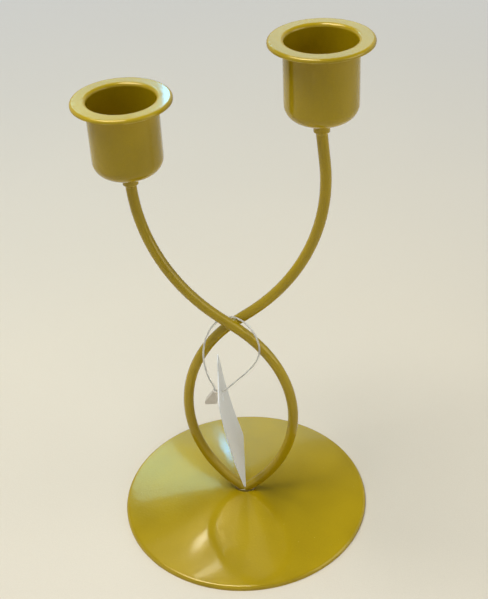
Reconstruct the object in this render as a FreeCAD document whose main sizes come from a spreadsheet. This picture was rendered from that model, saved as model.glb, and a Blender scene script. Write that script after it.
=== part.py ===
"""Spiral candle holder: two crossed wire arms of unequal height on a pressed round base.

Each arm carries a deep-drawn candle cup. The two arms meet on a seat at the middle of the base,
bow apart, cross and bow apart again. A card tag hangs from the crossing on a thin loop.

Frame, in millimetres: the origin is the centre of the base on the table, +Z is up, and +X runs
from the short arm's cup towards the long arm's cup.
"""
import FreeCAD, Part
import Sketcher
import math
import os

Vector = FreeCAD.Vector
Placement = FreeCAD.Placement
Rotation = FreeCAD.Rotation

UP = Vector(0, 0, 1)
HALF_TURN = Rotation(UP, 180)

# Driving sizes, in millimetres and degrees, one alias each in the spreadsheet "Sizes"
SIZES = [
    # pressed base plate
    ("base_radius", 50.0),
    ("base_sheet", 1.0),
    ("seat_height", 6.0),
    ("seat_radius", 7.0),
    ("shoulder_height", 1.8),
    ("edge_bend", 1.4),
    # fixing under the base
    ("stud_diameter", 4.0),
    ("stud_clearance", 0.2),
    ("stud_chamfer", 0.4),
    ("stud_end_height", 1.3),
    ("washer_radius", 5.0),
    ("washer_sheet", 0.8),
    ("nut_across_flats", 7.0),
    ("nut_thickness", 2.2),
    ("nut_clearance", 0.03),
    ("nut_chamfer_angle", 30.0),
    # bent wire arms
    ("rod_diameter", 4.0),
    ("crossing_gap", 0.1),
    ("lower_bow_radius", 53.5),
    ("upper_bow_radius", 73.5),
    ("crossing_angle", 52.5),
    ("crossing_run", 6.5),
    ("short_arm_top", 149.5),
    ("long_arm_top", 171.0),
    ("short_tip_lean", -4.0),
    ("long_tip_lean", 5.0),
    # brazing at the crossing and at the foot
    ("crossing_braze_inset", 0.2),
    ("foot_braze_length", 8.4),
    ("foot_braze_width", 5.2),
    ("foot_braze_height", 1.1),
    # ferrules under the cups
    ("ferrule_diameter", 5.6),
    ("ferrule_height", 5.8),
    ("ferrule_chamfer", 0.7),
    # candle cups
    ("cup_radius", 12.4),
    ("cup_wall", 0.7),
    ("cup_height", 27.2),
    ("cup_corner", 5.0),
    ("flange_radius", 17.3),
    ("flange_drop", 1.3),
    ("flange_edge_round", 1.0),
    ("mouth_round", 1.3),
    # cup screws
    ("screw_diameter", 3.0),
    ("screw_reach", 2.4),
    ("screw_clearance", 0.04),
    ("screw_hole_clearance", 0.2),
    ("screw_head_radius", 2.8),
    ("screw_head_height", 2.0),
    ("screw_head_round", 1.2),
    ("recess_length", 3.0),
    ("recess_width", 0.7),
    ("recess_depth", 1.1),
    # card tag
    ("card_length", 45.0),
    ("card_width", 32.0),
    ("card_sheet", 0.4),
    ("card_curl", 0.9),
    ("card_corner", 2.0),
    ("card_hole_radius", 2.25),
    ("card_hole_drop", 9.0),
    ("card_lean", 10.4),
    ("card_heading", 8.4),
    # where the thread passes through the card, left of the middle and in front of it
    ("hang_left", 6.7),
    ("hang_front", 3.0),
    ("hang_height", 59.9),
    # lock and thread of the tag
    ("thread_diameter", 0.7),
    ("thread_clearance", 0.15),
    ("lock_width", 4.6),
    ("lock_height", 6.3),
    ("lock_thickness", 2.4),
    ("lock_top_width", 1.2),
    ("lock_nose", 1.3),
    ("lock_heel", 0.5),
    ("lock_round", 0.35),
    ("lock_gap", 1.9),
    ("lock_rise", 0.6),
    # boolean tools reach past what they cut by this
    ("overrun", 3.0),
]

# Route of the tag's thread, in millimetres, from the top of the lock round the crossing and
# through the card back into the lock: up the left side, behind the front arm, over the
# crossing, down in front of the front arm and through the hole.
THREAD_ROUTE = [
    (-9.2, -3.0, 60.5),
    (-9.2, -3.0, 62.2),
    (-10.4, -3.4, 65.0),
    (-11.6, -3.9, 69.4),
    (-12.4, -4.1, 74.6),
    (-12.5, -3.6, 79.6),
    (-11.8, -2.3, 84.0),
    (-10.1, -0.8, 87.8),
    (-7.6, 0.4, 90.9),
    (-4.6, 1.0, 92.8),
    (-1.3, 0.6, 93.7),
    (1.4, -0.5, 93.6),
    (4.2, -1.9, 92.6),
    (6.8, -3.5, 90.6),
    (8.6, -4.8, 87.6),
    (9.4, -5.4, 83.9),
    (9.0, -5.3, 80.1),
    (7.3, -4.9, 76.1),
    (4.5, -4.4, 72.0),
    (1.2, -4.0, 68.2),
    (-1.9, -3.6, 64.7),
    (-4.1, -3.2, 62.0),
    (-6.0, -3.0, 59.9),
    (-8.6, -3.0, 59.9),
]
ARC_SHARE = 0.45

doc = FreeCAD.newDocument("SpiralCandleHolder")
sheet = doc.addObject("Spreadsheet::Sheet", "Sizes")
for row, (alias, value) in enumerate(SIZES, start=1):
    sheet.set(f"A{row}", alias)
    sheet.set(f"B{row}", str(value))
    sheet.setAlias(f"B{row}", alias)
doc.recompute()


def size(expression):
    """Value of an expression of the sheet's aliases, such as 'cup_radius - cup_wall'."""
    value = sheet.evalExpression(bound(expression))
    return float(getattr(value, "Value", value))


def bound(expression):
    """The expression with each alias written as a reference to its cell."""
    words = expression.replace("(", "( ").replace(")", " )").split()
    aliases = {alias for alias, value in SIZES}
    return " ".join(f"Sizes.{word}" if word in aliases else word for word in words)


def origin_plane(body, role):
    return next(item for item in body.Origin.OriginFeatures if item.Role == role)


def place_point(sketch, geometry, end, x, y):
    """Hold one end of a sketch line at a place given by two expressions."""
    for kind, expression, axis in (("DistanceX", x, -2), ("DistanceY", y, -1)):
        if expression == "0":
            sketch.addConstraint(Sketcher.Constraint("PointOnObject", geometry, end, axis))
            continue
        rule = sketch.addConstraint(
            Sketcher.Constraint(kind, -1, 1, geometry, end, size(expression)))
        sketch.setExpression(f"Constraints[{rule}]", bound(expression))


def outline(body, name, plane, corners):
    """Closed outline of straight sides through corners given as pairs of expressions."""
    sketch = body.newObject("Sketcher::SketchObject", name)
    sketch.AttachmentSupport = [(origin_plane(body, plane), "")]
    sketch.MapMode = "FlatFace"
    places = [Vector(size(x), size(y), 0) for x, y in corners]
    for here, there in zip(places, places[1:] + places[:1]):
        sketch.addGeometry(Part.LineSegment(here, there))
    for side, (x, y) in enumerate(corners):
        before = (side - 1) % len(corners)
        sketch.addConstraint(Sketcher.Constraint("Coincident", before, 2, side, 1))
        place_point(sketch, side, 1, x, y)
    return sketch


def turned(label, corners):
    """Body made by turning an outline, drawn on the XZ plane, about the Z axis."""
    body = doc.addObject("PartDesign::Body", label)
    body.Label = label
    profile = outline(body, label + "_profile", "XZ_Plane", corners)
    turn = body.newObject("PartDesign::Revolution", label + "_turn")
    turn.Profile = profile
    turn.ReferenceAxis = (profile, ["V_Axis"])
    turn.Angle = 360
    profile.Visibility = False
    doc.recompute()
    return body


def ring_edges(shape, radius, height):
    """Names of the circular edges about Z of this radius at this height."""
    names = []
    near = size("rod_diameter") / 1000
    for number, edge in enumerate(shape.Edges, start=1):
        curve = edge.Curve
        if not hasattr(curve, "Radius") or abs(curve.Radius - radius) > near:
            continue
        if abs(curve.Center.z - height) < near and abs(curve.Axis.z) > abs(curve.Axis.x):
            names.append(f"Edge{number}")
    return names


def dress_edges(body, kind, name, amount, names):
    """Round or chamfer the named edges of the body's tip."""
    if not names:
        raise RuntimeError(f"{name}: no edge found")
    base = body.Tip
    feature = body.newObject(kind, name)
    feature.Base = (base, names)
    feature.setExpression("Radius" if kind.endswith("Fillet") else "Size", bound(amount))
    doc.recompute()
    return feature


def round_ring(body, name, amount, radius, height):
    """Round the circular edge at this radius and height."""
    names = ring_edges(body.Tip.Shape, size(radius), size(height))
    return dress_edges(body, "PartDesign::Fillet", name, amount, names)


def base_plate():
    """Shallow cone of sheet metal with a flat seat and a rounded, down-turned edge."""
    slope = "( seat_height - shoulder_height ) / ( base_radius - seat_radius )"
    inner_edge = f"shoulder_height - base_sheet + base_sheet * {slope}"
    hole = "stud_diameter / 2 + stud_clearance"
    body = turned("base_plate", [
        (hole, "seat_height - base_sheet"),
        ("seat_radius", "seat_height - base_sheet"),
        ("base_radius - base_sheet", inner_edge),
        ("base_radius - base_sheet", "0"),
        ("base_radius", "0"),
        ("base_radius", "shoulder_height"),
        ("seat_radius", "seat_height"),
        (hole, "seat_height"),
    ])
    round_ring(body, "edge_outside", "edge_bend", "base_radius", "shoulder_height")
    round_ring(body, "edge_inside", "edge_bend - base_sheet", "base_radius - base_sheet", inner_edge)
    return body


def base_washer():
    hole = "stud_diameter / 2 + stud_clearance"
    top = "seat_height - base_sheet"
    return turned("base_washer", [
        (hole, top + " - washer_sheet"),
        ("washer_radius", top + " - washer_sheet"),
        ("washer_radius", top),
        (hole, top),
    ])


def foot_stud():
    """Threaded stud brazed under the arms, which holds them down through the base."""
    return turned("foot_stud", [
        ("0", "stud_end_height"),
        ("stud_diameter / 2 - stud_chamfer", "stud_end_height"),
        ("stud_diameter / 2", "stud_end_height + stud_chamfer"),
        ("stud_diameter / 2", "seat_height"),
        ("0", "seat_height"),
    ])


def base_nut():
    """Thin hexagon nut whose corners are turned off to a cone at both ends."""
    top = size("seat_height - base_sheet - washer_sheet")
    thickness = size("nut_thickness")
    flats = size("nut_across_flats")
    corner_radius = flats / math.sqrt(3)
    fall = (corner_radius - flats / 2) * math.tan(math.radians(size("nut_chamfer_angle")))
    prism = doc.addObject("Part::Prism", "nut_prism")
    prism.Polygon = 6
    prism.setExpression("Circumradius", "Sizes.nut_across_flats / sqrt(3)")
    prism.setExpression("Height", bound("nut_thickness"))
    prism.Placement.Base = Vector(0, 0, top - thickness)
    barrel = turned("nut_barrel", [
        ("0", "0"),
        ("nut_across_flats / 2", "0"),
        ("nut_across_flats / sqrt(3)", f"nut_across_flats * {fall / flats}"),
        ("nut_across_flats / sqrt(3)", f"nut_thickness - nut_across_flats * {fall / flats}"),
        ("nut_across_flats / 2", "nut_thickness"),
        ("0", "nut_thickness"),
    ])
    barrel.Placement.Base = Vector(0, 0, top - thickness)
    bored = doc.addObject("Part::Cylinder", "nut_bore")
    bored.setExpression("Radius", bound("stud_diameter / 2 + nut_clearance"))
    bored.setExpression("Height", bound("nut_thickness + 2 * overrun"))
    bored.Placement.Base = Vector(0, 0, top - thickness - size("overrun"))
    blank = doc.addObject("Part::MultiCommon", "nut_blank")
    blank.Shapes = [prism, barrel]
    return cut("base_nut", blank, bored)


def cut(label, base, tool):
    result = doc.addObject("Part::Cut", label)
    result.Label = label
    result.Base = base
    result.Tool = tool
    doc.recompute()
    return result


def fuse(name, shapes):
    result = doc.addObject("Part::MultiFuse", name)
    result.Shapes = shapes
    return result


def bow_tilt(radius, angle):
    """Tilt of a bow's plane that brings its far end from beside the crossing to the middle."""
    half_gap = size("rod_diameter + crossing_gap") / 2
    return math.asin(half_gap / (radius * (1 - math.cos(angle))))


class ArmPath:
    """Centreline of the arm that crosses in front: lower bow, straight run, upper bow, tip.

    The two bows bend in opposite ways. Each lies in a plane turned about the straight run, so
    that the arms pass each other at the crossing and yet meet at the foot and under the cups.
    """

    def __init__(self, tip_lean, top):
        slant = math.radians(size("crossing_angle"))
        self.lower_radius = size("lower_bow_radius")
        self.upper_radius = size("upper_bow_radius")
        self.run_way = Vector(-math.sin(slant), 0, math.cos(slant))
        inward = Vector(-math.cos(slant), 0, -math.sin(slant))
        tilt = 0
        for _ in range(4):
            self.foot_angle = 2 * math.atan(math.tan(slant) / math.cos(tilt))
            tilt = bow_tilt(self.lower_radius, self.foot_angle)
        self.lower_in = inward * math.cos(tilt) + Vector(0, math.sin(tilt), 0)
        full_angle = slant + math.radians(tip_lean)
        tilt = bow_tilt(self.upper_radius, full_angle)
        self.upper_in = inward * -math.cos(tilt) + Vector(0, math.sin(tilt), 0)
        drop = self.lower_point(self.foot_angle, Vector())
        half_gap = size("rod_diameter + crossing_gap") / 2
        self.crossing = Vector(0, -half_gap, size("seat_height") - drop.z)
        self.run_end = self.crossing + self.run_way * size("crossing_run")
        self.upper_angle = min(full_angle, self.angle_at_height(top))
        bow_end = self.upper_point(self.upper_angle)
        tip_way = self.upper_in * math.sin(self.upper_angle) + self.run_way * math.cos(self.upper_angle)
        self.bow_end = bow_end
        self.top = bow_end + tip_way * ((top - bow_end.z) / tip_way.z)
        self.end = self.top + tip_way * size("overrun")

    def lower_point(self, angle, start):
        across = self.lower_in * (1 - math.cos(angle))
        return start + (across - self.run_way * math.sin(angle)) * self.lower_radius

    def angle_at_height(self, height):
        """Angle of the upper bow at which it reaches this height, or as high as it goes."""
        rise = math.hypot(self.upper_in.z, self.run_way.z)
        phase = math.atan2(self.run_way.z, self.upper_in.z)
        cosine = (self.upper_in.z - (height - self.run_end.z) / self.upper_radius) / rise
        return math.acos(max(-1, cosine)) - phase

    def upper_point(self, angle):
        across = self.upper_in * (1 - math.cos(angle))
        return self.run_end + (across + self.run_way * math.sin(angle)) * self.upper_radius

    def wire(self):
        past_foot = self.foot_angle + size("overrun") / self.lower_radius
        lower = Part.Arc(self.lower_point(past_foot, self.crossing),
                         self.lower_point(past_foot / 2, self.crossing), self.crossing)
        run = Part.LineSegment(self.crossing, self.run_end)
        upper = Part.Arc(self.run_end, self.upper_point(self.upper_angle / 2), self.bow_end)
        tip = Part.LineSegment(self.bow_end, self.end)
        return Part.Wire([piece.toShape() for piece in (lower, run, upper, tip)])


def box(name, length, width, height, corner):
    result = doc.addObject("Part::Box", name)
    result.setExpression("Length", bound(length))
    result.setExpression("Width", bound(width))
    result.setExpression("Height", bound(height))
    result.Placement.Base = corner
    return result


def arm(label, path):
    """Round wire swept along the arm's path, mitred at the middle and cut level at both ends."""
    spine = doc.addObject("Part::Feature", label + "_spine")
    spine.Shape = path.wire()
    first = spine.Shape.Edges[0]
    start = first.valueAt(first.FirstParameter)
    section = doc.addObject("Part::Circle", label + "_section")
    section.setExpression("Radius", bound("rod_diameter / 2"))
    section.Placement = Placement(start, Rotation(UP, first.tangentAt(first.FirstParameter)))
    rod = doc.addObject("Part::Sweep", label + "_rod")
    rod.Sections = [section]
    rod.Spine = (spine, [f"Edge{number + 1}" for number in range(len(spine.Shape.Edges))])
    rod.Solid = True
    rod.Frenet = False
    reach = "4 * rod_diameter"
    span = size(reach)
    seat = box(label + "_seat_cut", "2 * " + reach, "2 * " + reach, "seat_height + overrun",
               Vector(-span, -span, -size("overrun")))
    mitre = box(label + "_mitre_cut", reach, "2 * " + reach, "seat_height + 2 * " + reach,
                Vector(-span, -span, -size("overrun")))
    top = box(label + "_top_cut", "2 * " + reach, "2 * " + reach, reach,
              path.top - Vector(span, span, 0))
    return cut(label, rod, fuse(label + "_cuts", [seat, mitre, top]))


def crossing_braze(path, arms):
    """Braze metal that fills the narrow space between the arms where they cross."""
    front, back = arms
    reach = "5 * rod_diameter / 4 + crossing_gap"
    plug = doc.addObject("Part::Cylinder", "braze_plug")
    plug.setExpression("Radius", bound("rod_diameter / 2 - crossing_braze_inset"))
    plug.setExpression("Height", bound(reach))
    start = Vector(0, -size(reach) / 2, path.crossing.z)
    plug.Placement = Placement(start, Rotation(UP, Vector(0, 1, 0)))
    return cut("crossing_braze", cut("braze_behind_front", plug, front), back)


def foot_braze(arms):
    """Low oval bead of braze round the arms on the seat."""
    front, back = arms
    bead = doc.addObject("Part::Ellipsoid", "braze_bead")
    bead.setExpression("Radius1", bound("foot_braze_height"))
    bead.setExpression("Radius2", bound("foot_braze_length / 2"))
    bead.setExpression("Radius3", bound("foot_braze_width / 2"))
    bead.Angle1 = 0
    bead.Angle2 = 90
    bead.Placement.Base = Vector(0, 0, size("seat_height"))
    return cut("foot_braze", cut("bead_beside_front", bead, front), back)


def ferrule(label, place):
    """Turned ferrule brazed on an arm's end and tapped for the cup's screw."""
    bore = "screw_diameter / 2 + screw_clearance"
    floor = "ferrule_height - screw_reach - screw_clearance"
    body = turned(label, [
        ("0", "0"),
        ("ferrule_diameter / 2 - ferrule_chamfer", "0"),
        ("ferrule_diameter / 2", "ferrule_chamfer"),
        ("ferrule_diameter / 2", "ferrule_height"),
        (bore, "ferrule_height"),
        (bore, floor),
        ("0", floor),
    ])
    body.Placement.Base = place
    return body


def cup(label, place):
    """Deep-drawn cup with a round bottom corner and a flange whose edge turns down."""
    hole = "screw_diameter / 2 + screw_hole_clearance"
    body = turned(label, [
        (hole, "0"),
        ("cup_radius", "0"),
        ("cup_radius", "cup_height - cup_wall"),
        ("flange_radius - cup_wall", "cup_height - cup_wall"),
        ("flange_radius - cup_wall", "cup_height - flange_drop"),
        ("flange_radius", "cup_height - flange_drop"),
        ("flange_radius", "cup_height"),
        ("cup_radius - cup_wall", "cup_height"),
        ("cup_radius - cup_wall", "cup_wall"),
        (hole, "cup_wall"),
    ])
    flange_inside = "flange_radius - cup_wall"
    rounds = [
        ("corner_outside", "cup_corner", "cup_radius", "0"),
        ("corner_inside", "cup_corner - cup_wall", "cup_radius - cup_wall", "cup_wall"),
        ("mouth_inside", "mouth_round", "cup_radius - cup_wall", "cup_height"),
        ("mouth_outside", "mouth_round - cup_wall", "cup_radius", "cup_height - cup_wall"),
        ("flange_outside", "flange_edge_round", "flange_radius", "cup_height"),
        ("flange_inside", "flange_edge_round - cup_wall", flange_inside, "cup_height - cup_wall"),
    ]
    for name, amount, radius, height in rounds:
        round_ring(body, f"{label}_{name}", amount, radius, height)
    body.Placement.Base = place
    return body


def cup_screw(label, place):
    """Pan-head screw with a crossed recess, seated on the cup's floor."""
    length = "screw_reach + cup_wall"
    body = turned(label, [
        ("0", "0"),
        ("screw_diameter / 2", "0"),
        ("screw_diameter / 2", length),
        ("screw_head_radius", length),
        ("screw_head_radius", length + " + screw_head_height"),
        ("0", length + " + screw_head_height"),
    ])
    round_ring(body, label + "_head_round", "screw_head_round", "screw_head_radius",
               length + " + screw_head_height")
    near = "recess_width / 2"
    far = "recess_length / 2"
    low = "0 - "
    corners = [
        (far, low + near), (far, near), (near, near), (near, far), (low + near, far),
        (low + near, near), (low + far, near), (low + far, low + near), (low + near, low + near),
        (low + near, low + far), (near, low + far), (near, low + near),
    ]
    cross = outline(body, label + "_cross", "XY_Plane", corners)
    cross.AttachmentOffset = Placement(Vector(0, 0, size(length + " + screw_head_height")), Rotation())
    before = body.Tip.Shape.Volume
    recess = body.newObject("PartDesign::Pocket", label + "_recess")
    recess.Profile = cross
    recess.setExpression("Length", bound("recess_depth"))
    cross.Visibility = False
    doc.recompute()
    if body.Shape.Volume >= before:
        raise RuntimeError(label + ": the recess cuts nothing")
    body.Placement.Base = place
    return body


def hanging_point():
    """Middle of the card's hole, where the thread passes through it."""
    return Vector(-size("hang_left"), -size("hang_front"), size("hang_height"))


def tag_card():
    """Slightly curled card with round corners and a punched hole, hung on the thread."""
    body = doc.addObject("PartDesign::Body", "tag_card")
    body.Label = "tag_card"
    curl = size("card_curl")
    length = size("card_length")
    sheet_thickness = size("card_sheet")
    radius = (length ** 2 / 4 + curl ** 2) / (2 * curl)
    strip = body.newObject("Sketcher::SketchObject", "card_strip")
    strip.AttachmentSupport = [(origin_plane(body, "XZ_Plane"), "")]
    strip.MapMode = "FlatFace"
    ends = [Vector(curl, 0, 0), Vector(curl, length, 0)]
    middle = Vector(0, length / 2, 0)
    step = Vector(sheet_thickness, 0, 0)
    strip.addGeometry(Part.Arc(ends[1], middle, ends[0]))
    strip.addGeometry(Part.LineSegment(ends[0], ends[0] + step))
    strip.addGeometry(Part.Arc(ends[1] + step, middle + step, ends[0] + step))
    strip.addGeometry(Part.LineSegment(ends[1] + step, ends[1]))
    for first, first_end, second, second_end in ((0, 2, 1, 1), (1, 2, 2, 2), (2, 1, 3, 1), (3, 2, 0, 1)):
        strip.addConstraint(Sketcher.Constraint("Coincident", first, first_end, second, second_end))
    place_point(strip, 1, 1, "card_curl", "0")
    place_point(strip, 1, 2, "card_curl + card_sheet", "0")
    place_point(strip, 3, 2, "card_curl", "card_length")
    place_point(strip, 3, 1, "card_curl + card_sheet", "card_length")
    bow = "( card_length * card_length / 4 + card_curl * card_curl ) / ( 2 * card_curl )"
    for side in (0, 2):
        rule = strip.addConstraint(Sketcher.Constraint("Radius", side, radius))
        strip.setExpression(f"Constraints[{rule}]", bound(bow))
    pad = body.newObject("PartDesign::Pad", "card_pad")
    pad.Profile = strip
    pad.Midplane = True
    pad.setExpression("Length", bound("card_width"))
    strip.Visibility = False
    doc.recompute()
    corners = [f"Edge{number}" for number, edge in enumerate(body.Shape.Edges, start=1)
               if abs(edge.Length - sheet_thickness) < sheet_thickness / 2]
    dress_edges(body, "PartDesign::Fillet", "card_corners", "card_corner", corners)
    punch = body.newObject("Sketcher::SketchObject", "card_punch")
    punch.AttachmentSupport = [(origin_plane(body, "YZ_Plane"), "")]
    punch.MapMode = "FlatFace"
    height = size("card_length - card_hole_drop")
    punch.addGeometry(Part.Circle(Vector(0, height, 0), UP, size("card_hole_radius")))
    punch.addConstraint(Sketcher.Constraint("PointOnObject", 0, 3, -2))
    for kind, arguments, expression in (
            ("DistanceY", (-1, 1, 0, 3), "card_length - card_hole_drop"),
            ("Radius", (0,), "card_hole_radius")):
        rule = punch.addConstraint(Sketcher.Constraint(kind, *arguments, size(expression)))
        punch.setExpression(f"Constraints[{rule}]", bound(expression))
    before = body.Tip.Shape.Volume
    hole = body.newObject("PartDesign::Pocket", "card_hole")
    hole.Profile = punch
    hole.Midplane = True
    hole.setExpression("Length", bound("card_length"))
    punch.Visibility = False
    doc.recompute()
    if body.Shape.Volume >= before:
        raise RuntimeError("tag_card: the hole cuts nothing")
    # the thread lies in the top of the hole, where the card hangs from it
    grip = size("card_hole_radius - thread_diameter / 2 - thread_clearance")
    hung_height = height + grip
    bulge = radius - math.sqrt(radius ** 2 - (hung_height - length / 2) ** 2)
    hung = Vector(bulge + sheet_thickness / 2, 0, hung_height)
    turn = Rotation(UP, size("card_heading")) * Rotation(Vector(0, 1, 0), -size("card_lean"))
    body.Placement = Placement(hanging_point() - turn.multVec(hung), turn)
    return body


def tag_lock():
    """Small wedge-shaped lock that joins both ends of the thread."""
    body = doc.addObject("PartDesign::Body", "tag_lock")
    body.Label = "tag_lock"
    face = outline(body, "lock_face", "XZ_Plane", [
        ("0", "0"),
        ("lock_width", "lock_heel"),
        ("lock_width", "lock_height"),
        ("lock_width - lock_top_width", "lock_height"),
        ("0", "lock_nose"),
    ])
    pad = body.newObject("PartDesign::Pad", "lock_pad")
    pad.Profile = face
    pad.Midplane = True
    pad.setExpression("Length", bound("lock_thickness"))
    face.Visibility = False
    doc.recompute()
    thickness = size("lock_thickness")
    upright = [f"Edge{number}" for number, edge in enumerate(body.Shape.Edges, start=1)
               if abs(edge.Length - thickness) < thickness / 1000
               and edge.CenterOfMass.x < thickness]
    dress_edges(body, "PartDesign::Fillet", "lock_nose_round", "lock_round", upright)
    aside = Vector(size("lock_gap + lock_width"), 0, size("lock_height - lock_rise"))
    body.Placement.Base = hanging_point() - aside
    return body


def tag_loop():
    """Thread of the tag: straight runs joined by tangent arcs, swept with a round section."""
    radius = size("thread_diameter") / 2
    points = [Vector(*point) for point in THREAD_ROUTE]
    pieces = []
    radii = []
    here = points[0]
    for before, corner, after in zip(points, points[1:], points[2:]):
        arriving = (corner - before).normalize()
        leaving = (after - corner).normalize()
        trim = ARC_SHARE * min((corner - before).Length, (after - corner).Length)
        half_turn = arriving.getAngle(leaving) / 2
        radii.append(trim / math.tan(half_turn))
        start = corner - arriving * trim
        end = corner + leaving * trim
        inward = (leaving - arriving).normalize()
        bend = radii[-1]
        middle = corner + inward * (bend / math.cos(half_turn) - bend)
        pieces.append(Part.LineSegment(here, start).toShape())
        pieces.append(Part.Arc(start, middle, end).toShape())
        here = end
    pieces.append(Part.LineSegment(here, points[-1]).toShape())
    path = Part.Wire(pieces)
    first_way = points[1] - points[0]
    section = Part.Wire([Part.Circle(points[0], first_way, radius).toShape()])
    tube = path.makePipeShell([section], True, False)
    expected = math.pi * radius ** 2 * path.Length
    print("thread length %.2f mm, tightest bend %.2f mm" % (path.Length, min(radii)))
    print("thread bend radii", [round(bend, 1) for bend in radii])
    print("thread volume over section times length %.4f" % (tube.Volume / expected))
    feature = doc.addObject("Part::Feature", "tag_loop")
    feature.Label = "tag_loop"
    feature.Shape = tube
    return feature


def build():
    """Make every piece and return those that are exported."""
    short_path = ArmPath(size("short_tip_lean"), size("short_arm_top"))
    long_path = ArmPath(size("long_tip_lean"), size("long_arm_top"))
    arm_short = arm("arm_short", short_path)
    arm_long = arm("arm_long", long_path)
    arm_long.Placement = Placement(Vector(), HALF_TURN)
    short_top = short_path.top
    long_top = HALF_TURN.multVec(long_path.top)
    arms = (arm_short, arm_long)
    pieces = [
        base_plate(), base_washer(), foot_stud(), base_nut(), arm_short, arm_long,
        crossing_braze(short_path, arms), foot_braze(arms),
    ]
    cup_rise = Vector(0, 0, size("ferrule_height"))
    screw_rise = Vector(0, 0, size("ferrule_height - screw_reach"))
    for side, top in (("short", short_top), ("long", long_top)):
        pieces.append(ferrule("ferrule_" + side, top))
        pieces.append(cup("cup_" + side, top + cup_rise))
        pieces.append(cup_screw("cup_screw_" + side, top + screw_rise))
    pieces += [tag_card(), tag_lock(), tag_loop()]
    doc.recompute()
    print("crossing height %.3f mm" % short_path.crossing.z)
    for name, top in (("short", short_top), ("long", long_top)):
        print(f"{name} arm's top at %.3f %.3f %.3f mm" % tuple(top))
    return pieces


def export(pieces):
    """Check every object, then write one STEP file for each piece."""
    for item in doc.Objects:
        if "Invalid" in item.State or "Error" in item.State:
            raise RuntimeError(f"{item.Label} is {item.State}")
    for piece in pieces:
        if piece.Shape.isNull() or not piece.Shape.isValid() or not piece.Shape.Solids:
            raise RuntimeError(f"{piece.Label} has no valid solid")
    os.makedirs("parts", exist_ok=True)
    for piece in pieces:
        piece.Shape.exportStep(f"parts/{piece.Label}.step")
        print("%-18s %d solid, %.2f mm3" % (piece.Label, len(piece.Shape.Solids), piece.Shape.Volume))


export(build())
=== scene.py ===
"""Looks of the spiral candle holder: olive-gold paint, plated fixings, the card tag and its thread.

Lengths are in metres, in the holder's own frame: the origin is the centre of the base on the
table, +Z is up, and +X runs from the short arm's cup towards the long arm's cup.
"""

import math
from typing import NamedTuple

import bmesh
import bpy
from bpy.props import FloatProperty, FloatVectorProperty, IntProperty, PointerProperty
from mathutils import Matrix, Vector


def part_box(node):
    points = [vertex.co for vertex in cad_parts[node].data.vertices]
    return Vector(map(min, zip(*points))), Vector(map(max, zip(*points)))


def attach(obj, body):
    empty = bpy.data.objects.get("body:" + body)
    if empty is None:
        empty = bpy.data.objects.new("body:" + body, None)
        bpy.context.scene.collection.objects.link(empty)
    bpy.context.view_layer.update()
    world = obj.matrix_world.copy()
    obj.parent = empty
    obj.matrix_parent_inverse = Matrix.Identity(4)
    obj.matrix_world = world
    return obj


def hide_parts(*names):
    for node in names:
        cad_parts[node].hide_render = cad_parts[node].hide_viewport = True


bl_info = {
    "name": "Spiral Candle Holder",
    "version": (1, 0, 0),
    "blender": (4, 5, 0),
    "location": "View3D > Sidebar > Holder",
    "description": "Paints and dresses the spiral candle holder and sets its stage",
    "category": "Object",
}

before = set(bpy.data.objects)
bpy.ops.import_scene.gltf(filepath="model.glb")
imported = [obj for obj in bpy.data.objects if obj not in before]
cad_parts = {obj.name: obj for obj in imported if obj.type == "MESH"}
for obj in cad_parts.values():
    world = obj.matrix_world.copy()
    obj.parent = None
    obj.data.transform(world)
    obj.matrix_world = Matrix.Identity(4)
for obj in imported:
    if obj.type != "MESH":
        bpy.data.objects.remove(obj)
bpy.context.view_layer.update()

MM = 0.001

# The camera, fitted to the outlines of the base and the rims in the photograph. Its angles are
# in degrees.
CAMERA_PLACE = (0.05307, -0.33669, 0.34201)
CAMERA_HEADING = 8.34
CAMERA_DIP = 35.18
CAMERA_ROLL = -3.094
CAMERA_FOCUS_PX = 1130.7
PHOTO_HEIGHT_PX = 599
SENSOR_MM = 36.0

# A corner of a node stays sharp where its faces turn by this many degrees or more
SHARP_ANGLE = 30.0
MERGE_DISTANCE = 0.000001

# Route of the tag's thread, in millimetres
THREAD_ROUTE = [
    (-9.2, -3.0, 60.5),
    (-9.2, -3.0, 62.2),
    (-10.4, -3.4, 65.0),
    (-11.6, -3.9, 69.4),
    (-12.4, -4.1, 74.6),
    (-12.5, -3.6, 79.6),
    (-11.8, -2.3, 84.0),
    (-10.1, -0.8, 87.8),
    (-7.6, 0.4, 90.9),
    (-4.6, 1.0, 92.8),
    (-1.3, 0.6, 93.7),
    (1.4, -0.5, 93.6),
    (4.2, -1.9, 92.6),
    (6.8, -3.5, 90.6),
    (8.6, -4.8, 87.6),
    (9.4, -5.4, 83.9),
    (9.0, -5.3, 80.1),
    (7.3, -4.9, 76.1),
    (4.5, -4.4, 72.0),
    (1.2, -4.0, 68.2),
    (-1.9, -3.6, 64.7),
    (-4.1, -3.2, 62.0),
    (-6.0, -3.0, 59.9),
    (-8.6, -3.0, 59.9),
]

# How the thread is drawn: its curve's order, its steps between points, and its section's
THREAD_ORDER = 3
THREAD_STEPS = 10
THREAD_SECTION_STEPS = 5

PAINTED = ("base_plate", "arm_short", "arm_long", "crossing_braze", "foot_braze",
           "ferrule_short", "ferrule_long", "cup_short", "cup_long")
PLATED = ("base_washer", "foot_stud", "base_nut", "cup_screw_short", "cup_screw_long")

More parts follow.
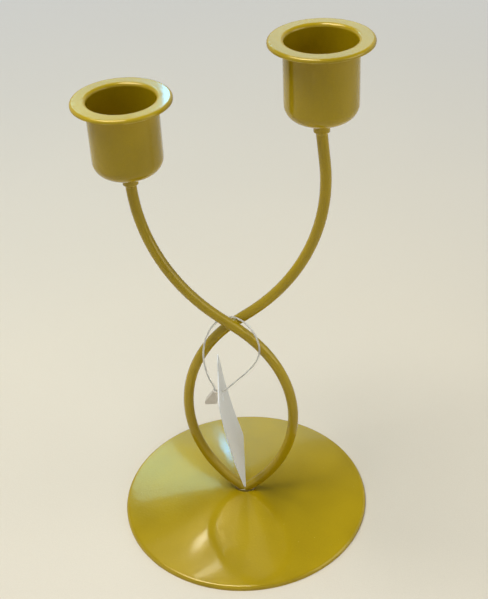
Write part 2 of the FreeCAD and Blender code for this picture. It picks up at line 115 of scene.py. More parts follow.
# Skin of each finish: the widths of its waves, flecks and clouds, and how much of its tone
# comes from the flecks. The paint's waves and flecks are among the sidebar's values.
PAINT_SKIN = {"Cloud Size": 0.03, "Fleck Share": 0.35}
PLATING_SKIN = {"Wave Size": 0.0006, "Fleck Size": 0.0001, "Cloud Size": 0.003, "Fleck Share": 0.4}
CARD_SKIN = {"Wave Size": 0.0009, "Fleck Size": 0.00022, "Cloud Size": 0.01, "Fleck Share": 0.5}
PLASTIC_SKIN = {"Wave Size": 0.0012, "Fleck Size": 0.0003, "Cloud Size": 0.003, "Fleck Share": 0.2}
FLOOR_SKIN = {"Wave Size": 0.0012, "Fleck Size": 0.0005, "Cloud Size": 0.25, "Fleck Share": 0.4}

# Marked edges: wear on every finish, with a painted highlight along the paint's edges and painted
# shade along the foot braze's edges. How wide they are, and how wide the patches are that break
# them up
PAINT_EDGE = {"Width": 0.0005, "Patch Size": 0.004}
PLATING_EDGE = {"Width": 0.0002, "Patch Size": 0.001}
CARD_EDGE = {"Width": 0.00018, "Patch Size": 0.002}

# Relief of each finish, whose distance is a real depth
PAINT_RELIEF = {"Distance": 0.00008, "Strength": 0.6}
PLATING_RELIEF = {"Distance": 0.00002, "Strength": 0.4}
CARD_RELIEF = {"Distance": 0.00003, "Strength": 0.4}
PLASTIC_RELIEF = {"Distance": 0.00001, "Strength": 0.3}
FLOOR_RELIEF = {"Distance": 0.00015, "Strength": 0.5}

# Shares of a finish's colour that its darkest tone and its edges have
# Painted shade on the foot's braze: its tones and its edges are dimmed to these shares of the
# paint's colours. This stands in for the dark contact shadow where the arms meet the base.
BRAZE_SHADE_TONE_SHARE = 0.4
BRAZE_SHADE_EDGE_SHARE = 0.1
PLATING_DARK_SHARE = 0.7
PLATING_EDGE_SHARE = 1.2
CARD_DARK_SHARE = 0.93
CARD_EDGE_SHARE = 0.8
PLASTIC_DARK_SHARE = 0.86
FLOOR_DARK_SHARE = 0.95

# How far the roughness goes below and above the sidebar's value, or from where to where
PAINT_ROUGHNESS_SWING = (-0.08, 0.08)
PLATING_ROUGHNESS_SWING = (-0.08, 0.1)
CARD_ROUGHNESS = (0.42, 0.55)
PLASTIC_ROUGHNESS = (0.4, 0.5)
FLOOR_ROUGHNESS = (0.5, 0.6)

PAINT_IOR = 1.3
PLASTIC_IOR = 1.46
THREAD_TRANSMISSION = 0.5
LOCK_TRANSMISSION = 0.1

FULL_RANGE = (0.0, 1.0)

# Levels of the noise between which a tone, a roughness or a patch of an edge changes
TONE_LEVELS = (0.35, 0.65)
CLOUD_LEVELS = (0.3, 0.7)
PATCH_LEVELS = (0.42, 0.6)

# How much of an edge's wear shows between the patches and in them
PATCH_WEAR = (0.15, 1.0)

# Detail of each noise, and how much the flecks add to the waves' height
WAVE_DETAIL = 1.0
FLECK_DETAIL = 0.0
CLOUD_DETAIL = 2.0
PATCH_DETAIL = 3.0
FLECK_HEIGHT = 0.25

# Cosines of the turn from the true normal to the rounded one, where an edge begins and is full
EDGE_COSINES = (0.995, 0.93)

# Sockets of the Mix node for colours and of the Random Value node for numbers, which have to be
# told apart by their places, because several have the same name
MIX_SHARE, MIX_FIRST, MIX_SECOND, MIX_RESULT = 0, 6, 7, 2
RANDOM_LOW, RANDOM_HIGH, RANDOM_RESULT = 2, 3, 1

# The stud's thread, which stops this many ridges short of the stud's end and of the nut, and
# the steps in each of its turns and round its section
RIDGES_TO_END = 4
RIDGES_TO_NUT = 1
RIDGE_STEPS = 48
RIDGE_SIDES = 8

# Dust nibs, on faces whose normals rise at least this much. The smallest is a share of the
# largest one's width, and each one's height is a share of its own width.
NIB_RISE = 0.9
NIB_GRAIN = {"Segments": 8, "Rings": 5, "Radius": 0.5}
NIB_SMALLEST_SHARE = 0.35
NIB_HEIGHT_SHARE = 0.3
NIB_SEED = 7


class Lamp(NamedTuple):
    """Rectangular lamp that is aimed at the holder."""

    place: tuple
    width: float
    height: float
    watts: float
    colour: tuple


LAMPS = {
    "ceiling_lamp": Lamp((-0.42, -0.12, 1.5), 0.9, 0.9, 22.5, (1.0, 0.98, 0.95)),
    "warm_panel": Lamp((-0.30, 0.66, 1.22), 0.55, 0.40, 0.5, (1.0, 0.95, 0.80)),
    "left_window": Lamp((-0.48, 1.05, 0.84), 0.19, 0.32, 0.80, (0.40, 0.92, 1.0)),
    "blue_window": Lamp((-0.26, 1.19, 0.74), 0.03, 0.04, 0.12, (0.12, 0.55, 1.0)),
    "back_window": Lamp((-0.14, 1.25, 0.73), 0.60, 0.14, 0.38, (0.40, 0.80, 1.0)),
    "left_spot": Lamp((-0.31, 0.72, 1.15), 0.05, 0.03, 0.14, (1.0, 0.95, 0.75)),
    "right_spot": Lamp((-0.25, 0.65, 1.20), 0.09, 0.02, 0.10, (1.0, 0.95, 0.75)),
    "side_window": Lamp((-1.1, -0.62, 0.55), 0.22, 0.7, 0.15, (0.95, 0.98, 1.0)),
    "right_window": Lamp((1.1, -0.2, 0.45), 0.8, 0.9, 3.5, (1.0, 0.99, 0.96)),
}
LAMP_AIM = (0.0, 0.0, 0.09)
SKY_COLOUR = (0.94, 0.97, 1.0, 1.0)

# Distances from the holder between which the floor fades into the background
FADE_DISTANCES = (0.15, 0.75)

# Upward parts of a direction between which the background turns into the ceiling
CEILING_RISES = (0.42, 0.7)

# Constants of the screen's colour curve
SCREEN_WHITE = 255
CURVE_OFFSET = 0.055
CURVE_POWER = 2.4
CURVE_START = 0.04045
CURVE_SLOPE = 12.92


def linear(red, green, blue):
    """Linear colour, with full alpha, of a colour as it is seen on a screen, from 0 to 255."""
    channels = [value / SCREEN_WHITE for value in (red, green, blue)]
    return tuple(((value + CURVE_OFFSET) / (1 + CURVE_OFFSET)) ** CURVE_POWER
                 if value > CURVE_START else value / CURVE_SLOPE
                 for value in channels) + (1.0,)


class HolderPaint(bpy.types.PropertyGroup):
    """Colours and skin of the paint on the base, the arms and the cups."""

    colour: FloatVectorProperty(
        name="Paint colour", description="Olive gold of the paint in full light",
        subtype="COLOR", size=4, min=0, max=1, default=linear(184, 157, 12))
    deep_colour: FloatVectorProperty(
        name="Deep colour", description="Darker olive where the paint lies thick",
        subtype="COLOR", size=4, min=0, max=1, default=linear(160, 136, 10))
    # The paint's edge colour is partly wear and partly a painted highlight: the pale line along the
    # base's rim stands in for light catching the rounded edge.
    worn_and_highlit_edge_colour: FloatVectorProperty(
        name="Worn and highlit edge colour", description="Paler gold where handling rubs the edges",
        subtype="COLOR", size=4, min=0, max=1, default=linear(220, 199, 100))
    metal: FloatProperty(
        name="Metal share", description="How metallic the paint's pigment looks",
        subtype="FACTOR", min=0, max=1, default=0.09)
    roughness: FloatProperty(
        name="Roughness", description="Roughness of the pigment under the clear skin",
        subtype="FACTOR", min=0, max=1, default=0.18)
    gloss: FloatProperty(
        name="Gloss", description="Weight of the clear glossy skin",
        subtype="FACTOR", min=0, max=1, default=0.4)
    gloss_roughness: FloatProperty(
        name="Gloss roughness", description="Roughness of the clear glossy skin",
        subtype="FACTOR", min=0, max=1, default=0.07)
    peel_size: FloatProperty(
        name="Peel size", description="Width of the shallow waves that spraying leaves",
        unit="LENGTH", min=0.0001, default=0.0009)
    fleck_size: FloatProperty(
        name="Fleck size", description="Width of the pigment's flecks",
        unit="LENGTH", min=0.00002, default=0.00018)
    nib_count: IntProperty(
        name="Nibs", description="Number of dust nibs caught in the base's paint",
        min=0, default=110)
    nib_size: FloatProperty(
        name="Nib size", description="Width of the largest dust nib",
        unit="LENGTH", min=0.00005, default=0.00034)


class HolderPlating(bpy.types.PropertyGroup):
    """Plated steel of the hidden fixings."""

    colour: FloatVectorProperty(
        name="Plating colour", description="Colour of the bright zinc plating",
        subtype="COLOR", size=4, min=0, max=1, default=linear(196, 198, 196))
    roughness: FloatProperty(
        name="Roughness", description="Roughness of the plating",
        subtype="FACTOR", min=0, max=1, default=0.3)
    thread_pitch: FloatProperty(
        name="Thread pitch", description="Distance from one turn of the stud's thread to the next",
        unit="LENGTH", min=0.0001, default=0.00035)
    thread_ridge: FloatProperty(
        name="Thread ridge", description="Radius of the thread's rounded ridge",
        unit="LENGTH", min=0.00001, default=0.00008)


class HolderTag(bpy.types.PropertyGroup):
    """The card tag, its thread and its lock."""

    card_colour: FloatVectorProperty(
        name="Card colour", description="White of the coated card",
        subtype="COLOR", size=4, min=0, max=1, default=linear(244, 247, 248))
    lock_colour: FloatVectorProperty(
        name="Lock colour", description="Cream of the moulded lock",
        subtype="COLOR", size=4, min=0, max=1, default=linear(234, 227, 216))
    thread_colour: FloatVectorProperty(
        name="Thread colour", description="Milky white of the moulded thread",
        subtype="COLOR", size=4, min=0, max=1, default=linear(252, 252, 249))
    thread_diameter: FloatProperty(
        name="Thread diameter", description="Diameter of the thread",
        unit="LENGTH", min=0.0003, default=0.0007)


class HolderStage(bpy.types.PropertyGroup):
    """Table top, lamps and background."""

    floor_colour: FloatVectorProperty(
        name="Floor colour", description="Pale warm white of the table top",
        subtype="COLOR", size=4, min=0, max=1, default=linear(222, 215, 198))
    ceiling_colour: FloatVectorProperty(
        name="Ceiling colour", description="What shows in a reflection of the space overhead",
        subtype="COLOR", size=4, min=0, max=1, default=linear(128, 124, 112))
    background_colour: FloatVectorProperty(
        name="Background colour", description="What the table top fades into far away",
        subtype="COLOR", size=4, min=0, max=1, default=linear(205, 206, 204))
    floor_width: FloatProperty(
        name="Floor width", description="Width of the table top", unit="LENGTH", min=1, default=6.0)
    sky: FloatProperty(
        name="Sky", description="Strength of the even light from all round", min=0, default=0.16)
    lamp_level: FloatProperty(
        name="Lamp level", description="Scales the power of every lamp", min=0, default=1.0)


def link(tree, source, target):
    tree.links.new(source, target)


def add_node(tree, kind, **inputs):
    """New node of a tree, with the named inputs set."""
    node = tree.nodes.new(kind)
    for name, value in inputs.items():
        node.inputs[name.replace("_", " ")].default_value = value
    return node


def math_node(tree, operation, *values):
    """Result of a Math node whose inputs are sockets or numbers."""
    node = tree.nodes.new("ShaderNodeMath")
    node.operation = operation
    for socket, value in zip(node.inputs, values):
        if isinstance(value, (int, float)):
            socket.default_value = value
        else:
            link(tree, value, socket)
    return node.outputs[0]


def spread(tree, value, source, target):
    """A value carried from one pair of limits to another, and clamped at both ends."""
    node = tree.nodes.new("ShaderNodeMapRange")
    for label, number in zip(("From Min", "From Max", "To Min", "To Max"), (*source, *target)):
        node.inputs[label].default_value = number
    link(tree, value, node.inputs["Value"])
    return node.outputs["Result"]


def noise_of_size(tree, vector, size_socket, detail):
    """Noise whose waves are as wide as the size that a socket gives."""
    noise = add_node(tree, "ShaderNodeTexNoise", Detail=detail)
    link(tree, vector, noise.inputs["Vector"])
    link(tree, math_node(tree, "DIVIDE", 1.0, size_socket), noise.inputs["Scale"])
    return noise.outputs["Fac"]


def new_group(name, inputs, outputs):
    """Shader node group that takes a vector and the named numbers, and its two end nodes."""
    group = bpy.data.node_groups.new(name, "ShaderNodeTree")
    group.interface.new_socket(name="Vector", in_out="INPUT", socket_type="NodeSocketVector")
    for direction, labels in (("INPUT", inputs), ("OUTPUT", outputs)):
        for label in labels:
            group.interface.new_socket(
                name=label, in_out=direction, socket_type="NodeSocketFloat")
    return group, group.nodes.new("NodeGroupInput"), group.nodes.new("NodeGroupOutput")


def skin_group():
    """Broad clouds, waves and fine flecks, which every finish uses at its own sizes."""
    existing = bpy.data.node_groups.get("surface_skin")
    if existing:
        return existing
    group, start, end = new_group(
        "surface_skin", ("Wave Size", "Fleck Size", "Cloud Size", "Fleck Share"),
        ("Tone", "Height", "Cloud"))
    vector = start.outputs["Vector"]
    wave = noise_of_size(group, vector, start.outputs["Wave Size"], WAVE_DETAIL)
    fleck = noise_of_size(group, vector, start.outputs["Fleck Size"], FLECK_DETAIL)
    cloud = noise_of_size(group, vector, start.outputs["Cloud Size"], CLOUD_DETAIL)
    share = start.outputs["Fleck Share"]
    fine = math_node(group, "MULTIPLY", fleck, share)
    broad = math_node(group, "MULTIPLY", cloud, math_node(group, "SUBTRACT", 1.0, share))
    height = math_node(group, "MULTIPLY_ADD", fine, FLECK_HEIGHT, wave)
    link(group, math_node(group, "ADD", fine, broad), end.inputs["Tone"])
    link(group, height, end.inputs["Height"])
    link(group, cloud, end.inputs["Cloud"])
    return group


def edge_group():
    """Mask of the edges, broken up by noise: where a rounded normal leaves the true one. It places
    wear, painted highlight and painted shade.
    """
    existing = bpy.data.node_groups.get("edge_wear_and_painted_light")
    if existing:
        return existing
    group, start, end = new_group("edge_wear_and_painted_light", ("Width", "Patch Size"), ("Mask",))
    rounded = group.nodes.new("ShaderNodeBevel")
    link(group, start.outputs["Width"], rounded.inputs["Radius"])
    true = group.nodes.new("ShaderNodeNewGeometry")
    product = group.nodes.new("ShaderNodeVectorMath")
    product.operation = "DOT_PRODUCT"
    link(group, rounded.outputs["Normal"], product.inputs[0])
    link(group, true.outputs["Normal"], product.inputs[1])
    edge = spread(group, product.outputs["Value"], EDGE_COSINES, FULL_RANGE)
    patch = noise_of_size(
        group, start.outputs["Vector"], start.outputs["Patch Size"], PATCH_DETAIL)
    broken = spread(group, patch, PATCH_LEVELS, PATCH_WEAR)
    link(group, math_node(group, "MULTIPLY", edge, broken), end.inputs["Mask"])
    return group


def place_group(tree, group, vector, values):
    """A node group in a material, fed with object coordinates and its own values."""
    node = tree.nodes.new("ShaderNodeGroup")
    node.node_tree = group
    link(tree, vector, node.inputs["Vector"])
    for label, value in values.items():
        node.inputs[label].default_value = value
    return node


def colour_ramp(tree, value, positions, colours):
    """Colour that runs from the first to the second as a value rises between two positions."""
    ramp = tree.nodes.new("ShaderNodeValToRGB")
    for element, position, colour in zip(ramp.color_ramp.elements, positions, colours):
        element.position = position
        element.color = colour
    link(tree, value, ramp.inputs["Fac"])
    return ramp.outputs["Color"]


def mix_colour(tree, share, first, second):
    """Colour that runs from a socket's colour to a fixed one by a share."""
    mix = tree.nodes.new("ShaderNodeMix")
    mix.data_type = "RGBA"
    link(tree, share, mix.inputs[MIX_SHARE])
    link(tree, first, mix.inputs[MIX_FIRST])
    mix.inputs[MIX_SECOND].default_value = second
    return mix.outputs[MIX_RESULT]


def mix_shader(tree, share, first, second):
    """Shader that runs from one shader to another by a share."""
    mix = tree.nodes.new("ShaderNodeMixShader")
    link(tree, share, mix.inputs["Fac"])
    link(tree, first, mix.inputs[1])
    link(tree, second, mix.inputs[2])
    return mix.outputs["Shader"]


def dimmed(colour, share):
    """A colour with its channels scaled, and full alpha."""
    return tuple(channel * share for channel in colour[:3]) + (1.0,)


def surface_material(name, sizes, tones, roughness, relief, levels=CLOUD_LEVELS, edge=None):
    """Material whose tone, roughness and relief all follow one skin on object coordinates.

    The tones, the roughness and the noise's levels are pairs, from low to high. The edge is a
    pair of the edge group's values and the edge's colour.
    """
    material = bpy.data.materials.new(name)
    material.use_nodes = True
    tree = material.node_tree
    shader = tree.nodes["Principled BSDF"]
    vector = tree.nodes.new("ShaderNodeTexCoord").outputs["Object"]
    skin = place_group(tree, skin_group(), vector, sizes)
    colour = colour_ramp(tree, skin.outputs["Tone"], TONE_LEVELS, tones)
    if edge:
        edge_sizes, edge_colour = edge
        edge_marks = place_group(tree, edge_group(), vector, edge_sizes)
        colour = mix_colour(tree, edge_marks.outputs["Mask"], colour, edge_colour)
    link(tree, colour, shader.inputs["Base Color"])
    rough = spread(tree, skin.outputs["Cloud"], levels, roughness)
    link(tree, rough, shader.inputs["Roughness"])
    bump = add_node(tree, "ShaderNodeBump", **relief)
    link(tree, skin.outputs["Height"], bump.inputs["Height"])
    link(tree, bump.outputs["Normal"], shader.inputs["Normal"])
    return material


def set_shader(material, **values):
    """Sets uniform values on a material's own shader."""
    shader = material.node_tree.nodes["Principled BSDF"]
    for name, value in values.items():
        shader.inputs[name.replace("_", " ")].default_value = value


def paint_material(name, body_share, edge_colour):
    """Olive-gold paint under a clear skin, with its own tone and its own colour at the edges."""
    paint = bpy.context.scene.holder_paint
    material = surface_material(
        name,
        sizes={"Wave Size": paint.peel_size, "Fleck Size": paint.fleck_size, **PAINT_SKIN},
        tones=(dimmed(paint.deep_colour, body_share), dimmed(paint.colour, body_share)),
        roughness=[paint.roughness + swing for swing in PAINT_ROUGHNESS_SWING],
        relief=PAINT_RELIEF, levels=FULL_RANGE, edge=(PAINT_EDGE, edge_colour))
    set_shader(material, Metallic=paint.metal, IOR=PAINT_IOR, Coat_Weight=paint.gloss,
               Coat_Roughness=paint.gloss_roughness)
    return material


def plating_material():
    """Bright zinc plating of the fixings."""
    plating = bpy.context.scene.holder_plating
    bright = tuple(plating.colour)
    material = surface_material(
        "zinc_plating", sizes=PLATING_SKIN,
        tones=(dimmed(bright, PLATING_DARK_SHARE), bright),
        roughness=[plating.roughness + swing for swing in PLATING_ROUGHNESS_SWING],
        relief=PLATING_RELIEF, edge=(PLATING_EDGE, dimmed(bright, PLATING_EDGE_SHARE)))
    set_shader(material, Metallic=1.0)
    return material


def card_material():
    """Coated white card, a little darker at its worn edges."""
    white = tuple(bpy.context.scene.holder_tag.card_colour)
    return surface_material(
        "coated_card", sizes=CARD_SKIN, tones=(dimmed(white, CARD_DARK_SHARE), white),
        roughness=CARD_ROUGHNESS, relief=CARD_RELIEF,
        edge=(CARD_EDGE, dimmed(white, CARD_EDGE_SHARE)))


def plastic_material(name, colour, transmission):
    """Milky moulded plastic of the lock and the thread."""
    material = surface_material(
        name, sizes=PLASTIC_SKIN, tones=(dimmed(colour, PLASTIC_DARK_SHARE), tuple(colour)),
        roughness=PLASTIC_ROUGHNESS, relief=PLASTIC_RELIEF)
    set_shader(material, Transmission_Weight=transmission, IOR=PLASTIC_IOR)
    return material


def give(piece, material):
    piece.data.materials.clear()
    piece.data.materials.append(material)


def add_object(name, data):
    """New object in the scene."""
    item = bpy.data.objects.new(name, data)
    bpy.context.scene.collection.objects.link(item)
    return item


def merged_mesh(node_name, mesh_name):
    """Copy of a node's loose triangles, merged, smooth, and sharp where it turns a real corner."""
    build = bmesh.new()
    build.from_mesh(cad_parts[node_name].data)
    bmesh.ops.remove_doubles(build, verts=build.verts, dist=MERGE_DISTANCE)
    bmesh.ops.dissolve_degenerate(build, edges=build.edges, dist=MERGE_DISTANCE)
    limit = math.radians(SHARP_ANGLE)
    for face in build.faces:
        face.smooth = True
    for edge in build.edges:
        edge.smooth = len(edge.link_faces) == 2 and edge.calc_face_angle() < limit
    mesh = bpy.data.meshes.new(mesh_name)
    build.to_mesh(mesh)
    build.free()
    if "custom_normal" in mesh.attributes:
        mesh.attributes.remove(mesh.attributes["custom_normal"])
    return mesh


def dressed(node_name, ending, body, material):
    """Merged copy of a node, with its finish, which rides in the node's place."""
    name = f"{node_name}_{ending}"
    piece = add_object(name, merged_mesh(node_name, name))
    give(piece, material)
    normals = piece.modifiers.new("face_weighted_normals", "WEIGHTED_NORMAL")
    normals.keep_sharp = True
    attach(piece, body)
    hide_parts(node_name)
    return piece


def set_input(modifier, name, value):
    """Sets a Geometry Nodes modifier's input by its socket's identifier."""
    for item in modifier.node_group.interface.items_tree:
        if item.item_type == "SOCKET" and item.in_out == "INPUT" and item.name == name:
            modifier[item.identifier] = value
            return
    raise RuntimeError(f"the tree {modifier.node_group.name} has no input named {name}")


def new_tree(name, inputs):
    """Geometry Nodes tree with a geometry output and the named inputs, and its two end nodes."""
    tree = bpy.data.node_groups.new(name, "GeometryNodeTree")
    tree.interface.new_socket(name="Geometry", in_out="OUTPUT", socket_type="NodeSocketGeometry")
    tree.interface.new_socket(name="Geometry", in_out="INPUT", socket_type="NodeSocketGeometry")
    for label, kind in inputs + [("Material", "NodeSocketMaterial")]:
        tree.interface.new_socket(name=label, in_out="INPUT", socket_type=kind)
    return tree, tree.nodes.new("NodeGroupInput"), tree.nodes.new("NodeGroupOutput")


def end_tree(tree, geometry, start, end):
    """Realizes the instances, sets the material and ends the tree."""
    realize = tree.nodes.new("GeometryNodeRealizeInstances")
    finish = tree.nodes.new("GeometryNodeSetMaterial")
    link(tree, geometry, realize.inputs["Geometry"])
    link(tree, realize.outputs["Geometry"], finish.inputs["Geometry"])
    link(tree, start.outputs["Material"], finish.inputs["Material"])
    link(tree, finish.outputs["Geometry"], end.inputs["Geometry"])
    return tree


def grown_piece(name, mesh, tree, values):
    """Object that a Geometry Nodes tree grows from a mesh, with its result as a plain mesh."""
    piece = add_object(name, mesh)
    modifier = piece.modifiers.new(name, "NODES")
    modifier.node_group = tree
    for label, value in values.items():
        set_input(modifier, label, value)
    graph = bpy.context.evaluated_depsgraph_get()
    result = bpy.data.meshes.new_from_object(piece.evaluated_get(graph))
    piece.modifiers.clear()
    piece.data = result
    return piece


def ridge_tree():
    """Screw thread's ridge: a small round section that follows a helix."""
    tree, start, end = new_tree("thread_ridge", [
        ("Radius", "NodeSocketFloat"), ("Ridge", "NodeSocketFloat"), ("Turns", "NodeSocketFloat"),
        ("Rise", "NodeSocketFloat"), ("Bottom", "NodeSocketFloat")])
    helix = add_node(tree, "GeometryNodeCurveSpiral", Resolution=RIDGE_STEPS)
    for socket in ("Start Radius", "End Radius"):
        link(tree, start.outputs["Radius"], helix.inputs[socket])
    link(tree, start.outputs["Turns"], helix.inputs["Rotations"])
    link(tree, start.outputs["Rise"], helix.inputs["Height"])
    section = add_node(tree, "GeometryNodeCurvePrimitiveCircle", Resolution=RIDGE_SIDES)
    link(tree, start.outputs["Ridge"], section.inputs["Radius"])
    sweep = add_node(tree, "GeometryNodeCurveToMesh", Fill_Caps=True)
    link(tree, helix.outputs["Curve"], sweep.inputs["Curve"])
    link(tree, section.outputs["Curve"], sweep.inputs["Profile Curve"])
    place = tree.nodes.new("ShaderNodeCombineXYZ")
    link(tree, start.outputs["Bottom"], place.inputs["Z"])
    lift = tree.nodes.new("GeometryNodeTransform")
    link(tree, sweep.outputs["Mesh"], lift.inputs["Geometry"])
    link(tree, place.outputs["Vector"], lift.inputs["Translation"])
    return end_tree(tree, lift.outputs["Geometry"], start, end)


def nib_tree():
    """Dust nibs: low grains of random width, scattered over the faces that look up."""
    tree, start, end = new_tree("dust_nibs", [
        ("Density", "NodeSocketFloat"), ("Size", "NodeSocketFloat"), ("Seed", "NodeSocketInt")])
    normal = tree.nodes.new("GeometryNodeInputNormal")
    apart = tree.nodes.new("ShaderNodeSeparateXYZ")
    link(tree, normal.outputs["Normal"], apart.inputs["Vector"])
    upward = math_node(tree, "GREATER_THAN", apart.outputs["Z"], NIB_RISE)
    scatter = tree.nodes.new("GeometryNodeDistributePointsOnFaces")
    link(tree, start.outputs["Geometry"], scatter.inputs["Mesh"])
    link(tree, upward, scatter.inputs["Selection"])
    link(tree, start.outputs["Density"], scatter.inputs["Density"])
    link(tree, start.outputs["Seed"], scatter.inputs["Seed"])
    grain = add_node(tree, "GeometryNodeMeshUVSphere", **NIB_GRAIN)
    share = tree.nodes.new("FunctionNodeRandomValue")
    share.data_type = "FLOAT"
    share.inputs[RANDOM_LOW].default_value = NIB_SMALLEST_SHARE
    share.inputs[RANDOM_HIGH].default_value = 1.0
    link(tree, start.outputs["Seed"], share.inputs["Seed"])
    width = math_node(tree, "MULTIPLY", share.outputs[RANDOM_RESULT], start.outputs["Size"])
    size = tree.nodes.new("ShaderNodeCombineXYZ")
    link(tree, width, size.inputs["X"])
    link(tree, width, size.inputs["Y"])
    link(tree, math_node(tree, "MULTIPLY", width, NIB_HEIGHT_SHARE), size.inputs["Z"])
    place = tree.nodes.new("GeometryNodeInstanceOnPoints")
    link(tree, scatter.outputs["Points"], place.inputs["Points"])
    link(tree, grain.outputs["Mesh"], place.inputs["Instance"])
    link(tree, scatter.outputs["Rotation"], place.inputs["Rotation"])
    link(tree, size.outputs["Vector"], place.inputs["Scale"])
    return end_tree(tree, place.outputs["Instances"], start, end)


class HOLDER_OT_camera(bpy.types.Operator):
    """Place the camera at the photograph's viewpoint"""

    bl_idname = "holder.camera"
    bl_label = "Place Camera"

    def execute(self, context):
        lens = bpy.data.cameras.new("camera")
        lens.sensor_width = SENSOR_MM
        lens.lens = SENSOR_MM * CAMERA_FOCUS_PX / PHOTO_HEIGHT_PX
        camera = add_object("camera", lens)
        turn = (Matrix.Rotation(math.radians(CAMERA_HEADING), 4, "Z")
                @ Matrix.Rotation(math.radians(90 - CAMERA_DIP), 4, "X")
                @ Matrix.Rotation(math.radians(CAMERA_ROLL), 4, "Z"))
        camera.matrix_world = Matrix.Translation(CAMERA_PLACE) @ turn
        context.scene.camera = camera
        return {"FINISHED"}


class HOLDER_OT_tag_thread(bpy.types.Operator):
    """Make the tag's thread, which loops round the arms where they cross"""

    bl_idname = "holder.tag_thread"
    bl_label = "Make Tag Thread"

    def execute(self, context):
        tag = context.scene.holder_tag
        curve = bpy.data.curves.new("tag_thread", "CURVE")
        curve.dimensions = "3D"
        curve.bevel_depth = tag.thread_diameter / 2
        curve.bevel_resolution = THREAD_SECTION_STEPS
        curve.use_fill_caps = True
        spline = curve.splines.new("NURBS")
        spline.points.add(len(THREAD_ROUTE) - 1)
        for point, place in zip(spline.points, THREAD_ROUTE):
            point.co = tuple(coordinate * MM for coordinate in place) + (1.0,)
        spline.order_u = THREAD_ORDER
        spline.use_endpoint_u = True
        spline.resolution_u = THREAD_STEPS
        thread = add_object("tag_thread", curve)
        give(thread, plastic_material("milky_thread", tag.thread_colour, THREAD_TRANSMISSION))
        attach(thread, "tag_string")
        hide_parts("tag_loop")
        return {"FINISHED"}


class HOLDER_OT_tag_card(bpy.types.Operator):
    """Dress the tag's card and its lock"""

    bl_idname = "holder.tag_card"
    bl_label = "Dress Tag Card"

    def execute(self, context):
        tag = context.scene.holder_tag
        dressed("tag_card", "coated", "tag", card_material())
        lock = plastic_material("cream_moulding", tag.lock_colour, LOCK_TRANSMISSION)
        dressed("tag_lock", "moulded", "tag_string", lock)
        return {"FINISHED"}


class HOLDER_OT_paint_frame(bpy.types.Operator):
    """Paint the base, the arms, the ferrules and the cups"""

    bl_idname = "holder.paint_frame"
    bl_label = "Paint Frame"

    def execute(self, context):
        paint = context.scene.holder_paint
        # The gold paint's paler edges are partly wear and partly a painted highlight along the
        # rims.
        gold = paint_material("olive_gold_paint", 1.0, tuple(paint.worn_and_highlit_edge_colour))
        # The foot's braze takes painted shade: a dimmed body and dark edges for the contact shadow
        # under the arms.
        braze_shade = paint_material("painted_foot_shade", BRAZE_SHADE_TONE_SHARE,
                                dimmed(paint.deep_colour, BRAZE_SHADE_EDGE_SHARE))
        for name in PAINTED:
            finish = braze_shade if name == "foot_braze" else gold
            dressed(name, "painted", "holder", finish)
        low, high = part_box("base_plate")
        area = math.pi * (high[0] - low[0]) ** 2 / 4
        bed = merged_mesh("base_plate", "nib_bed")
        nibs = grown_piece("base_paint_nibs", bed, nib_tree(), {
            "Density": paint.nib_count / area, "Size": paint.nib_size, "Seed": NIB_SEED,
            "Material": gold})
        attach(nibs, "holder")
        return {"FINISHED"}


class HOLDER_OT_fixings(bpy.types.Operator):
    """Plate the fixings and cut the thread on the stud's end"""

    bl_idname = "holder.fixings"
    bl_label = "Plate Fixings"

    def execute(self, context):
        plating = context.scene.holder_plating
        material = plating_material()
        for name in PLATED:
            dressed(name, "plated", "holder", material)
        stud_low, stud_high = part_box("foot_stud")
        nut_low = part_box("base_nut")[0]
        ridge = plating.thread_ridge
        rise = nut_low[2] - stud_low[2] - (RIDGES_TO_END + RIDGES_TO_NUT) * ridge
        thread = grown_piece("stud_thread", bpy.data.meshes.new("stud_thread"), ridge_tree(), {
            "Radius": stud_high[0] - ridge / 2, "Ridge": ridge,
            "Turns": rise / plating.thread_pitch, "Rise": rise,
            "Bottom": stud_low[2] + RIDGES_TO_END * ridge, "Material": material})
        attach(thread, "holder")
        return {"FINISHED"}


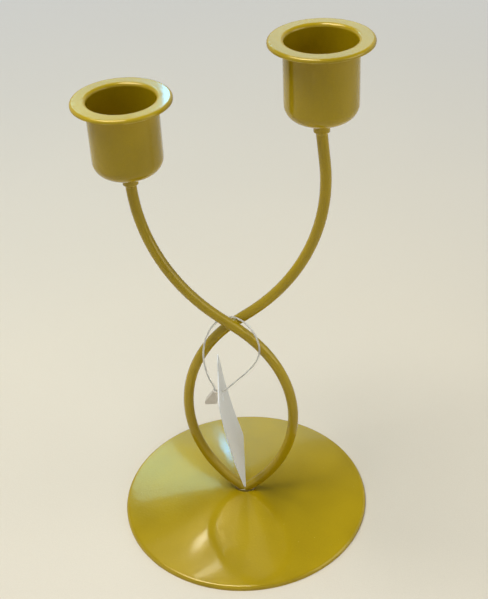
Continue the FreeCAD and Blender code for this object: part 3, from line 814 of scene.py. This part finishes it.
class HOLDER_OT_stage(bpy.types.Operator):
    """Make the table top, the lamps and the background"""

    bl_idname = "holder.stage"
    bl_label = "Set Stage"

    def execute(self, context):
        stage = context.scene.holder_stage
        self.make_floor(stage)
        for name, lamp in LAMPS.items():
            self.make_lamp(name, lamp, stage.lamp_level)
        self.make_world(context, stage)
        context.scene.view_settings.view_transform = "Standard"
        return {"FINISHED"}

    def make_floor(self, stage):
        """Square table top, which fades into the background away from the holder."""
        half = stage.floor_width / 2
        mesh = bpy.data.meshes.new("floor")
        corners = [(-half, -half, 0), (half, -half, 0), (half, half, 0), (-half, half, 0)]
        mesh.from_pydata(corners, [], [(0, 1, 2, 3)])
        floor = add_object("floor", mesh)
        pale = tuple(stage.floor_colour)
        material = surface_material(
            "table_top", sizes=FLOOR_SKIN, tones=(dimmed(pale, FLOOR_DARK_SHARE), pale),
            roughness=FLOOR_ROUGHNESS, relief=FLOOR_RELIEF)
        self.fade_floor(material.node_tree, tuple(stage.background_colour))
        give(floor, material)

    def fade_floor(self, tree, background):
        """Lets the floor that is seen far from the holder take the background's colour."""
        distance = tree.nodes.new("ShaderNodeVectorMath")
        distance.operation = "LENGTH"
        link(tree, tree.nodes["Texture Coordinate"].outputs["Object"], distance.inputs[0])
        far = spread(tree, distance.outputs["Value"], FADE_DISTANCES, FULL_RANGE)
        path = tree.nodes.new("ShaderNodeLightPath")
        share = math_node(tree, "MULTIPLY", far, path.outputs["Is Camera Ray"])
        glow = add_node(tree, "ShaderNodeEmission", Color=background, Strength=1.0)
        faded = mix_shader(tree, share, tree.nodes["Principled BSDF"].outputs["BSDF"],
                           glow.outputs["Emission"])
        link(tree, faded, tree.nodes["Material Output"].inputs["Surface"])

    def make_lamp(self, name, lamp, level):
        """Rectangular lamp whose power is scaled by the stage's level."""
        light = bpy.data.lights.new(name, "AREA")
        light.shape = "RECTANGLE"
        light.size = lamp.width
        light.size_y = lamp.height
        light.energy = lamp.watts * level
        light.color = lamp.colour
        item = add_object(name, light)
        item.location = lamp.place
        away = Vector(LAMP_AIM) - Vector(lamp.place)
        item.rotation_euler = away.to_track_quat("-Z", "Y").to_euler()

    def make_world(self, context, stage):
        """Even light, with a pale background and a dim ceiling for what is seen or reflected."""
        world = bpy.data.worlds.new("studio")
        world.use_nodes = True
        context.scene.world = world
        tree = world.node_tree
        even = tree.nodes["Background"]
        even.inputs["Color"].default_value = SKY_COLOUR
        even.inputs["Strength"].default_value = stage.sky
        seen = add_node(tree, "ShaderNodeBackground", Strength=1.0)
        direction = tree.nodes.new("ShaderNodeTexCoord")
        apart = tree.nodes.new("ShaderNodeSeparateXYZ")
        link(tree, direction.outputs["Generated"], apart.inputs["Vector"])
        colours = (tuple(stage.background_colour), tuple(stage.ceiling_colour))
        surroundings = colour_ramp(tree, apart.outputs["Z"], CEILING_RISES, colours)
        link(tree, surroundings, seen.inputs["Color"])
        path = tree.nodes.new("ShaderNodeLightPath")
        direct = math_node(tree, "MAXIMUM", path.outputs["Is Camera Ray"],
                           path.outputs["Is Transmission Ray"])
        shown = math_node(tree, "MAXIMUM", direct, path.outputs["Is Glossy Ray"])
        light = mix_shader(tree, shown, even.outputs["Background"], seen.outputs["Background"])
        link(tree, light, tree.nodes["World Output"].inputs["Surface"])


class HOLDER_PT_sidebar(bpy.types.Panel):
    """Lists the holder's operators and the values that they use"""

    bl_idname = "HOLDER_PT_sidebar"
    bl_label = "Spiral Candle Holder"
    bl_space_type = "VIEW_3D"
    bl_region_type = "UI"
    bl_category = "Holder"

    def draw(self, context):
        layout = self.layout
        for operator in OPERATORS:
            layout.operator(operator.bl_idname)
        for name, group in SETTINGS:
            box = layout.box()
            for value in group.__annotations__:
                box.prop(getattr(context.scene, name), value)


OPERATORS = (HOLDER_OT_camera, HOLDER_OT_tag_thread, HOLDER_OT_tag_card, HOLDER_OT_paint_frame,
             HOLDER_OT_fixings, HOLDER_OT_stage)
SETTINGS = (("holder_paint", HolderPaint), ("holder_plating", HolderPlating),
            ("holder_tag", HolderTag), ("holder_stage", HolderStage))


def register():
    for name, group in SETTINGS:
        bpy.utils.register_class(group)
        setattr(bpy.types.Scene, name, PointerProperty(type=group))
    for item in (*OPERATORS, HOLDER_PT_sidebar):
        bpy.utils.register_class(item)


def unregister():
    for item in reversed((*OPERATORS, HOLDER_PT_sidebar)):
        bpy.utils.unregister_class(item)
    for name, group in reversed(SETTINGS):
        delattr(bpy.types.Scene, name)
        bpy.utils.unregister_class(group)


def main():
    register()
    bpy.ops.holder.camera()
    bpy.ops.holder.tag_thread()
    bpy.ops.holder.tag_card()
    bpy.ops.holder.paint_frame()
    bpy.ops.holder.fixings()
    bpy.ops.holder.stage()


if __name__ == "__main__":
    main()
